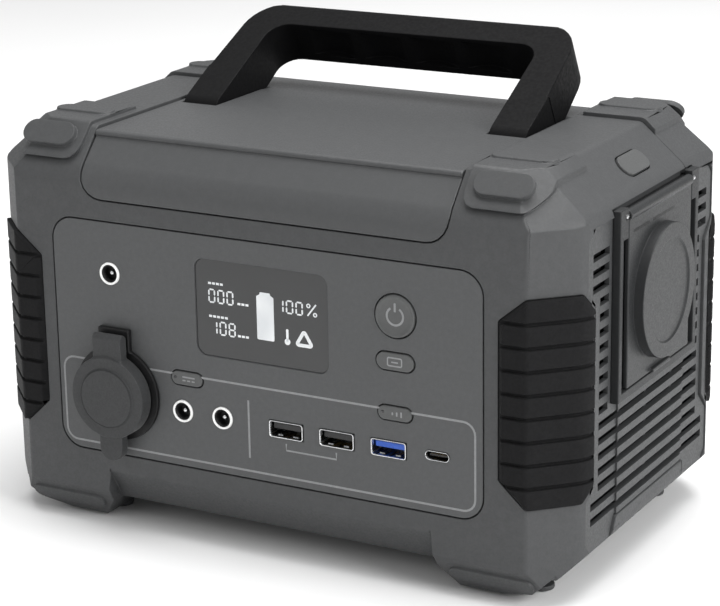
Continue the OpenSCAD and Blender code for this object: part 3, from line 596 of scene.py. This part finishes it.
def barrel_jacks(name, centres, node):
    """Ringed barrel jacks: white bezel, black bore with its insulator, and the centre pin."""
    ring, lining, pin = bmesh.new(), bmesh.new(), bmesh.new()
    # (radius, depth) in mm
    ring_profile = [(4.15, 2.4), (4.15, -0.1), (4.05, -0.42), (3.85, -0.58)]
    ring_profile += [(3.6, -0.58), (3.38, -0.42), (3.3, -0.05), (3.3, 2.4)]
    bore_profile = [(0, 10.9), (2.5, 10.9), (2.5, 0.9), (2.7, 0.2)]
    bore_profile += [(3.0, -0.1), (3.28, -0.1), (3.28, 11.3), (0, 11.3)]
    pin_profile = [(0, 1.0), (0.45, 1.05), (0.85, 1.3), (1.05, 1.7), (1.05, 10.9), (0, 10.9)]
    for centre in centres:
        add_lathe(ring, centre, ring_profile)
        add_lathe(lining, centre, bore_profile, 40)
        add_prism(lining, centre, box_outline(10, 10.4, 0.6), 2.7, 14)
        add_lathe(pin, centre, pin_profile, 24)
    piece(name + "_ring", ring, jack_nylon, "case", (node,))
    piece(name + "_lining", lining, inner_nylon_and_painted_shade, "case")
    piece(name + "_pin", pin, nickel, "case")


dc_low, dc_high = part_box("dc_out_jacks")
dc_z = (dc_low.z + dc_high.z) / 2
dc_centres = [Vector((x, dc_low.y, dc_z)) for x in (dc_low.x + 5 * MM, dc_high.x - 5 * MM)]
barrel_jacks("dc_in", [middle("dc_in_jack")], "dc_in_jack")
barrel_jacks("dc_out", dc_centres, "dc_out_jacks")

usb_low, usb_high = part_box("usb_shells")
usb_z = (usb_low.z + usb_high.z) / 2
usb_first, usb_last = usb_low.x + 6.85 * MM, usb_high.x - 6.85 * MM
usb_centres = [Vector((usb_first + (usb_last - usb_first) * i / 2, usb_low.y, usb_z)) for i in range(3)]


def usb_shells():
    """Folded steel shells with a rolled mouth, two spring fingers in the floor of each, and gold contacts."""
    shells = bmesh.new()
    for centre in usb_centres:
        add_tube(
            shells,
            centre,
            [
                (box_outline(13.5, 6.0, 1.0), 13.8),
                (box_outline(13.5, 6.0, 1.0), 0.4),
                (box_outline(13.75, 6.25, 1.1), 0.0),
                (box_outline(13.6, 6.1, 1.0), -0.3),
                (box_outline(13.0, 5.55, 0.8), -0.35),
                (box_outline(12.5, 5.1, 0.6), 0.1),
                (box_outline(12.5, 5.1, 0.6), 12.9),
            ],
        )
        add_prism(shells, centre, box_outline(13.4, 5.9, 0.9), 12.9, 13.8)
        for side in (-1, 1):
            finger = [Vector((centre.x + side * 3.1 * MM, centre.y, centre.z - 2.45 * MM))]
            add_prism(shells, finger[0], box_outline(2.0, 0.5, 0.12), 1.2, 6.5)
    piece("usb_a_shells", shells, nickel, "case", ("usb_shells",), sharp_deg=40)
    strip = bmesh.new()
    add_prism(strip, Vector(), box_outline(1.1, 0.24, 0.05, 2), 0, 7, plain_front)
    starts = [Vector((c.x - 3.5 * MM, PANEL_FACE + 2 * MM, c.z - 0.17 * MM)) for c in usb_centres]
    set_out("usb_a_contacts", strip, starts, 4, (2.333, 0, 0), gold_contact, "case", "contact_brass")


def usb_c():
    """Seamless oval shell with a soft lip, and the contact row on its tongue."""
    centre = middle("usb_c_shell")

    def oval(grow):
        return box_outline(8.8 + grow, 3.0 + grow, 1.5 + grow / 2 - 0.01, 10)

    shell = bmesh.new()
    lip = [(0.5, 10.8), (0.5, 0.1), (0.4, -0.22), (0.0, -0.28), (-0.35, 0.05), (-0.35, 10)]
    add_tube(shell, centre, [(oval(grow), depth) for grow, depth in lip])
    add_prism(shell, centre, oval(0.3), 10, 10.8)
    piece("usb_c_mouth", shell, nickel, "case", ("usb_c_shell",), sharp_deg=40)
    strip = bmesh.new()
    add_prism(strip, Vector(), box_outline(0.26, 0.08, 0.01, 1), 0, 3.4, plain_front)
    first, mouth = centre.x - 2.75 * MM, PANEL_FACE + 1.1 * MM
    starts = [Vector((first, mouth, centre.z + s * 0.36 * MM)) for s in (-1, 1)]
    set_out("usb_c_contacts", strip, starts, 12, (0.5, 0, 0), gold_contact, "case", "contact_brass")


usb_shells()
usb_c()

# ---------------------------------------------------------------- keys and their marks


def power_key():
    """Round key: dished crown inside a rolled rim, with the printed on/off sign."""
    centre = middle("power_button")
    key = bmesh.new()
    dish = [(0, -0.2), (3, -0.22), (5.6, -0.32), (6.3, -0.55), (6.8, -0.72)]
    rim_and_skirt = [(7.2, -0.68), (7.5, -0.4), (7.6, 0), (7.6, 3), (9, 3), (9, 4), (0, 4)]
    add_lathe(key, centre, dish + rim_and_skirt, 72)
    piece("power_key_cap", key, key_abs, "power_key", ("power_button",))
    sign = bmesh.new()
    add_sector(sign, centre, 2.75, 3.5, 122, 418, -0.29, -0.15)
    add_prism(sign, centre + Vector((0, 0, 3.1 * MM)), box_outline(0.8, 3.2, 0.3), -0.32, -0.15)
    piece("power_key_sign", sign, line_ink, "power_key")


def pill_marks():
    """Small printed signs and the pilot light on the pill keys."""
    display, dc, usb = middle("display_button"), middle("dc_button"), middle("usb_button")
    face, sunk = -0.54, -0.4
    print_bm = bmesh.new()
    add_line(print_bm, display, box_outline(5.4, 2.9, 0.5, 3), 0.5, face, sunk, closed=True)
    add_prism(print_bm, display + Vector((0, 0, -0.1 * MM)), box_outline(2.6, 0.5, 0.1, 2), face, sunk)
    piece("display_key_sign", print_bm, line_ink, "display_key")
    print_bm = bmesh.new()
    add_prism(print_bm, dc + Vector((0.9 * MM, 0, 0.65 * MM)), box_outline(5.2, 0.55, 0.1, 2), face, sunk)
    for i in (-1, 0, 1):
        dash = dc + Vector(((0.9 + 1.95 * i) * MM, 0, -0.65 * MM))
        add_prism(print_bm, dash, box_outline(1.3, 0.55, 0.1, 2), face, sunk)
    piece("dc_key_sign", print_bm, line_ink, "dc_key")
    print_bm = bmesh.new()
    for i in (-1, 0, 1):
        bar = usb + Vector(((0.9 + 1.7 * i) * MM, 0, 0))
        add_prism(print_bm, bar, box_outline(0.6, 1.5 + 0.5 * i, 0.1, 2), face, sunk)
    piece("usb_key_sign", print_bm, line_ink, "usb_key")
    for name, centre, body in (("dc", dc, "dc_key"), ("usb", usb, "usb_key")):
        pilot = bmesh.new()
        spot = centre + Vector((-4.6 * MM, 0, 0.3 * MM))
        add_lathe(pilot, spot, [(0, -0.72), (0.35, -0.68), (0.6, -0.5), (0.6, 0), (0, 0)], 20)
        piece(name + "_key_pilot", pilot, window_acrylic, body)


power_key()
pill_marks()

# ---------------------------------------------------------------- printing on the panel


def panel_lines():
    """Printed frame round the outputs, its divider and the bracket that joins two ports."""
    centre = (panel_low + panel_high) / 2
    ink = bmesh.new()
    front, sunk = -0.03, 0.05
    frame_line = [(x - 0.35, z - 24.9) for x, z in box_outline(168.3, 32.0, 4.5)]
    add_line(ink, centre, frame_line, 0.75, front, sunk, closed=True)
    add_line(ink, centre, [(-5.4, -14.4), (-5.4, -36.0)], 0.75, front, sunk)
    add_line(ink, centre, [(9.8, -28.2), (9.8, -30.7), (30.0, -30.7), (30.0, -28.2)], 0.6, front, sunk)
    piece("panel_lines", ink, line_ink, "case")


panel_lines()

# ---------------------------------------------------------------- display

# The bars each digit lights: a top, b upper right, c lower right, d bottom, e lower left,
# f upper left, g middle.
DIGIT_BARS = {"0": "abcdef", "1": "bc", "8": "abcdefg"}


def add_digit(bm, centre, digit, at, size, stroke, front, back):
    """One seven-bar digit whose lower left corner is at, with size (width, height) in mm."""
    w, h = size
    ends = {
        "a": ((0, h), (w, h)),
        "b": ((w, h), (w, h / 2)),
        "c": ((w, h / 2), (w, 0)),
        "d": ((0, 0), (w, 0)),
        "e": ((0, 0), (0, h / 2)),
        "f": ((0, h / 2), (0, h)),
        "g": ((0, h / 2), (w, h / 2)),
    }
    for bar in DIGIT_BARS[digit]:
        start, end = (Vector(p) + Vector(at) for p in ends[bar])
        way = (end - start).normalized()
        across = Vector((-way.y, way.x)) * stroke / 2
        start, end = start + way * 0.16, end - way * 0.16
        nib = way * stroke / 2
        upper = [start, start + nib + across, end - nib + across]
        outline = upper + [end, end - nib - across, start + nib - across]
        add_prism(bm, centre, [tuple(p) for p in outline], front, back)


def display_picture():
    """What the display shows: power in and out, charge bar and share, thermometer and notice sign."""
    centre = middle("screen_window")
    lit = bmesh.new()
    front, back = 0.6, 0.75
    digit, stroke = (2.3, 4.6), 0.56
    for word, left, base in (("000", -21.4, 2.2), ("108", -20.9, -9.4)):
        for i, mark in enumerate(word):
            add_digit(lit, centre, mark, (left + 3.75 * i, base), digit, stroke, front, back)
    for i, mark in enumerate("100"):
        add_digit(lit, centre, mark, (6.4 + 3.85 * i, 2.3), (2.4, 4.4), stroke, front, back)
    # per cent sign
    for x, z in ((19.0, 6.0), (21.6, 3.0)):
        ring = [(x + p[0], z + p[1]) for p in circle_outline(0.62, 12)]
        add_line(lit, centre, ring, 0.45, front, back, closed=True)
    add_line(lit, centre, [(18.6, 2.4), (22.0, 6.7)], 0.55, front, back)
    # charge bar with its terminal
    cell = [(-1.9, -8.9), (5.0, -8.9), (5.0, 6.9), (3.7, 7.6), (3.6, 8.4), (-0.5, 8.4), (-0.6, 7.6), (-1.9, 6.9)]
    add_prism(lit, centre, rounded(cell, [0.5, 0.5, 0.5, 0.2, 0.3, 0.3, 0.2, 0.5], 3), front, back)
    # captions stand as plain dashes
    for x, z, dashes in ((-21.6, 9.1, 4), (-21.6, -3.0, 5), (-9.7, 2.9, 3), (-9.9, -8.9, 3)):
        for i in range(dashes):
            left = x + 1.62 * i
            dash = [(left, z - 0.4), (left + 1.2, z - 0.4), (left + 1.2, z + 0.4), (left, z + 0.4)]
            add_prism(lit, centre, dash, front, back)
    # thermometer
    add_prism(lit, centre, [(10.3 + p[0], -5.9 + p[1]) for p in box_outline(0.9, 4.6, 0.4, 4)], front, back)
    add_prism(lit, centre, [(10.3 + p[0], -8.2 + p[1]) for p in circle_outline(1.15, 20)], front, back)
    # notice sign: an open triangle
    triangle = rounded([(13.9, -8.7), (20.2, -8.7), (17.05, -3.5)], 0.5, 4)
    add_line(lit, centre, triangle, 1.25, front, back, closed=True)
    piece("display_picture", lit, display_light, "case")


display_picture()

# ---------------------------------------------------------------- vents, screws, mains lid


def blade(length_mm):
    """One louvre blade along Y, sloping down and out, about the origin."""
    bm = bmesh.new()
    section = [(0, -1.5), (0, -0.7), (-5, 2.6), (-5, 1.8)]
    for y in (-length_mm / 2, length_mm / 2):
        for x, z in section:
            bm.verts.new((x * MM, y * MM, z * MM))
    bm.verts.ensure_lookup_table()
    v = bm.verts
    for i in range(4):
        j = (i + 1) % 4
        bm.faces.new((v[i], v[j], v[j + 4], v[i + 4]))
    bm.faces.new(v[:4])
    bm.faces.new(list(v[4:8])[::-1])
    return bm


def louvres():
    """Sloping black blades behind the vent slots, which hide the inside of the case; their black is painted
    shade that makes the slots read dark.
    """
    low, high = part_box("right_vent_grille")
    pitch, slots, long_slots = 5.5, 18, 7
    first = low.z + (20.8 + 1.2 - 11.4) * MM
    inner = high.x - 3.9 * MM
    middle_y = (low.y + high.y) / 2
    rise = (0, 0, pitch)
    # black finish on the blades: painted shade for the deep vent slots
    looks = (inner_nylon_and_painted_shade, "case", "black_plastic")
    set_out("right_louvres_long", blade(92), [(inner, middle_y, first)], long_slots, rise, *looks)
    starts = [(inner, middle_y + s * 44 * MM, first + long_slots * pitch * MM) for s in (-1, 1)]
    set_out("right_louvres_short", blade(13), starts, slots - long_slots, rise, *looks)
    mirrored = blade(92)
    bmesh.ops.scale(mirrored, vec=(-1, 1, 1), verts=mirrored.verts)
    left_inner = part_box("left_vent_grille")[0].x + 3.9 * MM
    set_out("left_louvres", mirrored, [(left_inner, middle_y, first)], slots, rise, *looks)


def screw_heads():
    """Cheese-head case screws with a socket for a hexagon key, deep in their rear counterbores."""
    low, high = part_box("case_screws")
    head = bmesh.new()
    hexagon = [(1.45 * math.cos(math.pi * k / 3), 1.45 * math.sin(math.pi * k / 3)) for k in range(6)]
    hexagon_24 = []
    for k in range(24):
        corner, following = Vector(hexagon[k // 4]), Vector(hexagon[(k // 4 + 1) % 6])
        hexagon_24.append(tuple(corner.lerp(following, (k % 4) / 4)))
    rings = [
        (circle_outline(1.5, 24), -28),
        (circle_outline(1.5, 24), 0),
        (circle_outline(3.1, 24), 0),
        (circle_outline(3.1, 24), 2.2),
        (circle_outline(2.8, 24), 2.6),
        (hexagon_24, 2.6),
        (hexagon_24, 1.2),
    ]
    made = [[head.verts.new((p[0] * MM, d * MM, p[1] * MM)) for p in outline] for outline, d in rings]
    for a, b in zip(made, made[1:]):
        for i in range(24):
            j = (i + 1) % 24
            head.faces.new((a[i], a[j], b[j], b[i]))
    head.faces.new(made[0][::-1])
    head.faces.new(made[-1])
    seat = high.y - 2.6 * MM
    starts = [(x, seat, low.z + 3.1 * MM) for x in (low.x + 3.1 * MM, high.x - 3.1 * MM)]
    rise = (high.z - low.z) / MM - 6.2
    set_out("screw_heads", head, starts, 2, (0, 0, rise), black_zinc, "case", "black_steel", ("case_screws",))


def mains_lid_details():
    """Black strip of painted shade in the channel down each side of the lid, and the two hinge slots at its top.
    """
    low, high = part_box("ac_socket_cover")
    centre = Vector((high.x, (low.y + high.y) / 2, low.z))
    # black strips laid on the channel floors: painted shade for the deep gap beside the lid
    channel = bmesh.new()
    for s in (-1, 1):
        strip = [(s * 30.4 + x, z + 27.0) for x, z in box_outline(4.2, 53.5, 0.4)]
        add_prism(channel, centre, strip, 0.98, 1.12, side_point)
    piece("lid_channel_shadow", channel, inner_nylon_and_painted_shade, "case")
    slots = bmesh.new()
    for y0, y1 in ((-24.5, -10.5), (-7.5, 12.0)):
        outline = [((y0 + y1) / 2 + x, 55.2 + z) for x, z in box_outline(y1 - y0, 1.1, 0.5)]
        add_prism(slots, centre, outline, -1.93, -1.7, side_point)
    piece("lid_hinge_slots", slots, inner_nylon_and_painted_shade, "mains_lid")


louvres()
screw_heads()
mains_lid_details()

# ---------------------------------------------------------------- studio


def studio():
    """Pale floor, soft light from both sides and above, and the camera."""
    low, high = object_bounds()
    centre = (low + high) / 2
    material, tree, shader, place = new_finish("pale_matte_floor", Roughness=0.8)
    colour = between(tree, spread(tree, noise(tree, place, 400), 0, 1), "#ebebeb", "#eeeeee")
    tree.links.new(colour, shader.inputs["Base Color"])
    bm = bmesh.new()
    reach = 6.0
    corners = ((-reach, -reach), (reach, -reach), (reach, reach), (-reach, reach))
    bm.faces.new([bm.verts.new((x, y, -0.0002)) for x, y in corners])
    mesh = bpy.data.meshes.new("floor")
    bm.to_mesh(mesh)
    bm.free()
    mesh.materials.append(material)
    floor = bpy.data.objects.new("floor", mesh)
    bpy.context.scene.collection.objects.link(floor)
    floor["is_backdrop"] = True

    world = bpy.data.worlds.new("studio")
    world.use_nodes = True
    background = world.node_tree.nodes["Background"]
    background.inputs["Color"].default_value = srgb("#ffffff")
    background.inputs["Strength"].default_value = 0.5
    bpy.context.scene.world = world
    bpy.context.scene.view_settings.view_transform = "Standard"

    for name, place_m, size_m, watts in (
        ("overhead_softbox", (0.1, 0.15, 1.5), 1.2, 26),
        ("right_softbox", (1.5, -0.3, 0.9), 0.9, 22),
        ("front_fill", (-0.7, -1.6, 0.8), 1.0, 3),
    ):
        light = bpy.data.lights.new(name, "AREA")
        light.energy = watts
        light.size = size_m
        lamp = bpy.data.objects.new(name, light)
        lamp.location = place_m
        lamp.rotation_euler = (centre - Vector(place_m)).to_track_quat("-Z", "Y").to_euler()
        bpy.context.scene.collection.objects.link(lamp)

    camera = bpy.data.cameras.new("camera")
    camera.lens = 120.15
    camera.sensor_width = 36
    camera.clip_end = 50
    eye = bpy.data.objects.new("camera", camera)
    right, up, back = (0.87487, 0.48412, -0.01570), (-0.12746, 0.26137, 0.95679), (0.46727, -0.83507, 0.29037)
    turned = Matrix((right, up, back)).transposed().to_4x4()
    turned.translation = (0.41855, -0.74815, 0.3376)
    eye.matrix_world = turned
    bpy.context.scene.collection.objects.link(eye)
    bpy.context.scene.camera = eye


studio()
